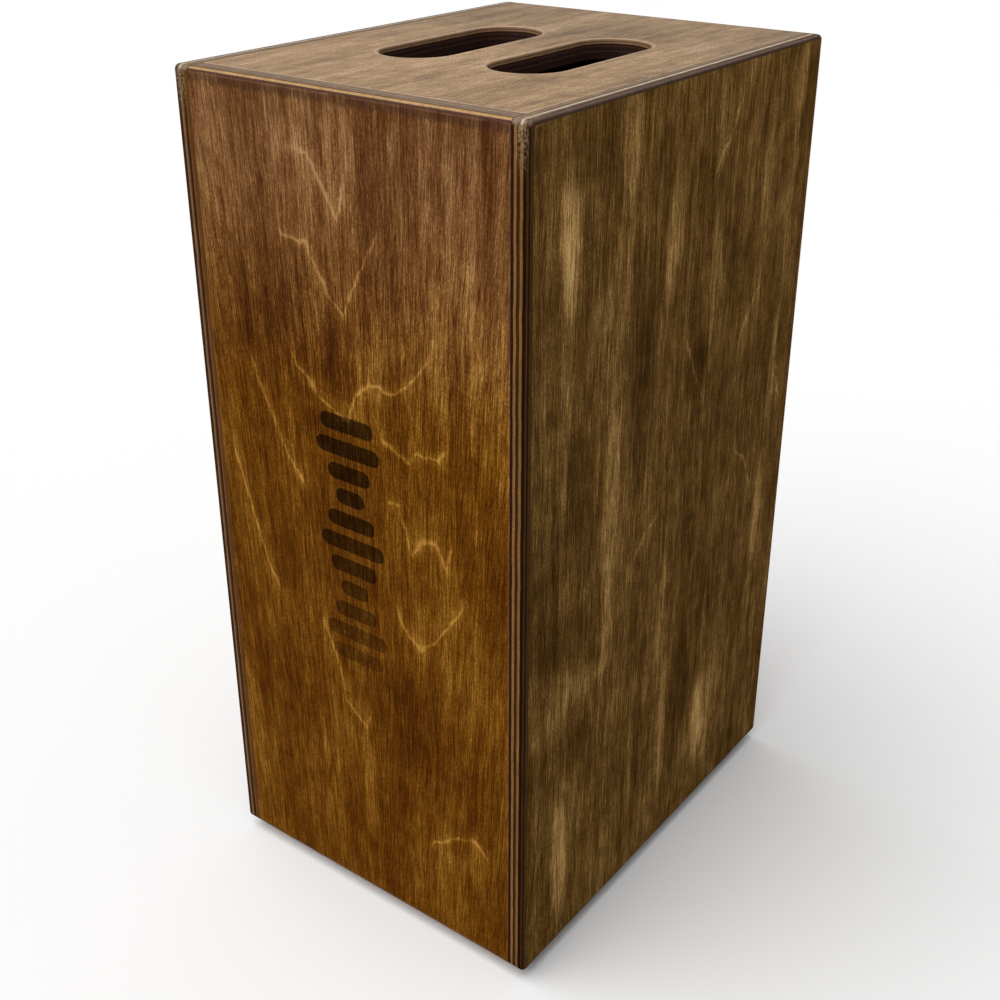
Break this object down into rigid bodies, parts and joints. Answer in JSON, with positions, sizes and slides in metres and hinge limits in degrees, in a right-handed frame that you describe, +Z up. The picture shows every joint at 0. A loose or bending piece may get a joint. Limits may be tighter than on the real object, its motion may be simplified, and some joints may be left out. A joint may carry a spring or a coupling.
{
  "type": "cajon box drum",
  "caption": "Tall box drum of stained plywood with two long hand slots in its seat, a thin screwed playing plate, snares inside and rubber feet.",
  "frame": {"origin": "on the floor, under the middle of the box", "axes": "+Z up, -Y out of the marked narrow front, +Y out of the thin playing plate, +X out of the right side panel"},
  "size_m": [0.235, 0.297, 0.516],
  "materials": {
    "front_stain": "satin, golden brown stain on birch plywood",
    "side_stain": "satin, olive brown stain on birch plywood",
    "seat_stain": "satin, lighter brown stain on birch plywood",
    "plate_stain": "satin, brown stain on birch plywood",
    "raw_timber": "planed, unfinished",
    "black_screw": "black phosphate",
    "zinc_steel": "bright zinc plate",
    "clip_brass": "satin",
    "snare_wire": "drawn wire",
    "foot_rubber": "matt"
  },
  "bodies": {
    "root": {"front_panel": "front_stain", "left_side_panel": "side_stain", "right_side_panel": "side_stain", "seat_panel": "seat_stain", "floor_panel": "side_stain", "playing_plate": "plate_stain", "plate_screws": "black_screw", "front_left_batten": "raw_timber", "front_right_batten": "raw_timber", "left_seat_cleat": "raw_timber", "right_seat_cleat": "raw_timber", "left_floor_cleat": "raw_timber", "right_floor_cleat": "raw_timber", "snare_bar": "raw_timber", "left_snare_bracket": "zinc_steel", "right_snare_bracket": "zinc_steel", "bracket_screws": "zinc_steel", "left_snare_clip": "clip_brass", "right_snare_clip": "clip_brass", "clip_screws": "zinc_steel", "left_snare_wires": "snare_wire", "right_snare_wires": "snare_wire", "front_left_foot": "foot_rubber", "front_right_foot": "foot_rubber", "rear_left_foot": "foot_rubber", "rear_right_foot": "foot_rubber", "foot_washers": "zinc_steel", "foot_screws": "zinc_steel"}
  },
  "joints": []
}
